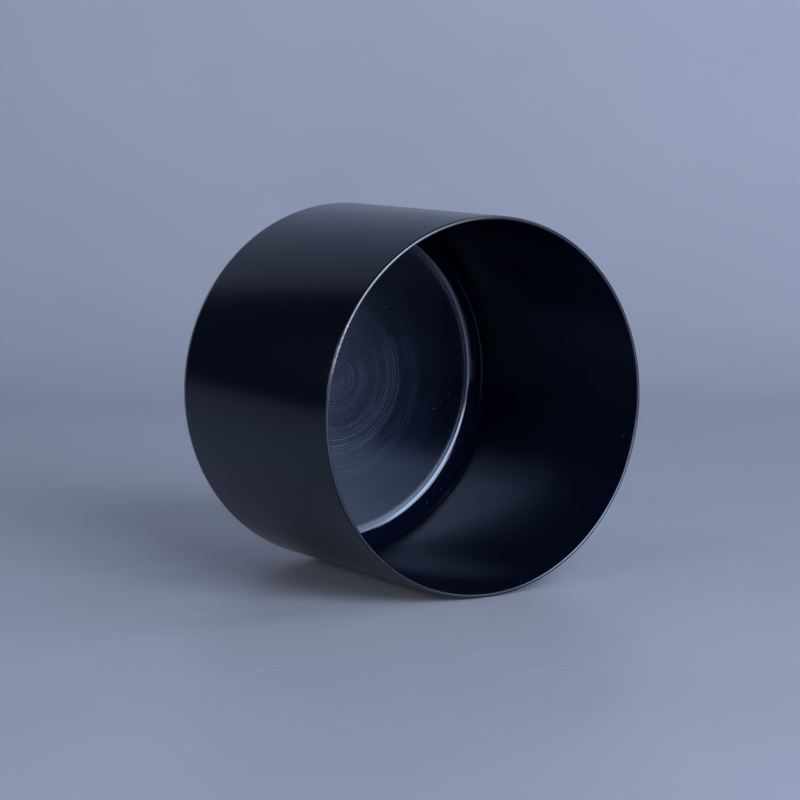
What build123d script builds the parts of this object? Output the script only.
"""Candle tin: a straight, thin-walled cup drawn and turned from one piece of
aluminium, standing on its base with its mouth up.

Millimetres. The origin is the centre of the base, and +Z runs along the tin's
axis, out of its mouth.
"""
from build123d import *
import os

os.makedirs("parts", exist_ok=True)

# --- driving sizes ---------------------------------------------------------
OUTER_DIAMETER = 80.0
HEIGHT = 61.4
WALL = 0.8              # side wall, all the way up: the cup has no taper
FLOOR = 0.8             # base sheet, over the recessed panel
OUTER_CORNER = 4.2      # radius where the outside of the wall turns in to the foot
INNER_CORNER = 5.0      # radius where the inner floor turns up into the wall
LIP_EASE = 0.25         # rounding of both edges of the plain lip
FOOT_WIDTH = 3.2        # flat ring under the base that the tin stands on
PANEL_RECESS = 0.65     # how far the base panel is set up inside that ring
PANEL_EASE = 0.25       # rounding of the recess's edge

# --- worked out from them --------------------------------------------------
outer_radius = OUTER_DIAMETER / 2
inner_radius = outer_radius - WALL
foot_outer_radius = outer_radius - OUTER_CORNER
panel_radius = foot_outer_radius - FOOT_WIDTH
floor_top = PANEL_RECESS + FLOOR        # the inner floor is flat, right across the ring

FROM_BELOW = (Align.CENTER, Align.CENTER, Align.MIN)


def rounded_plug(radius, length, corner):
    """A cylinder standing on z = 0 with its bottom edge rounded."""
    plug = Cylinder(radius, length, align=FROM_BELOW)
    bottom_edge = plug.edges().filter_by(GeomType.CIRCLE).sort_by(Axis.Z)[0]
    return fillet(bottom_edge, corner)


def eased_lip(cup):
    """Both edges of the flat lip at the mouth, rounded a little."""
    lip_edges = cup.edges().filter_by(GeomType.CIRCLE).group_by(Axis.Z)[-1]
    return fillet(lip_edges, LIP_EASE)


def recessed_panel(cup):
    """The base panel set up inside the foot ring, so the tin stands on the ring."""
    panel = Cylinder(panel_radius, PANEL_RECESS, align=FROM_BELOW)
    cup = cup - panel
    step_edge = (
        cup.edges()
        .filter_by(GeomType.CIRCLE)
        .filter_by(lambda edge: abs(edge.radius - panel_radius) < 1e-6)
        .sort_by(Axis.Z)[0]
    )
    return fillet(step_edge, PANEL_EASE)


def make_cup_body():
    """The whole tin: one drawn cup, open at the top."""
    outside = rounded_plug(outer_radius, HEIGHT, OUTER_CORNER)
    inside = Pos(0, 0, floor_top) * rounded_plug(inner_radius, HEIGHT, INNER_CORNER)
    return recessed_panel(eased_lip(outside - inside))


cup_body = make_cup_body()
cup_body.label = "cup_body"

export_step(cup_body, "parts/cup_body.step")

print(f"volume {cup_body.volume:.0f} mm3, aluminium {cup_body.volume * 2.7e-3:.1f} g")
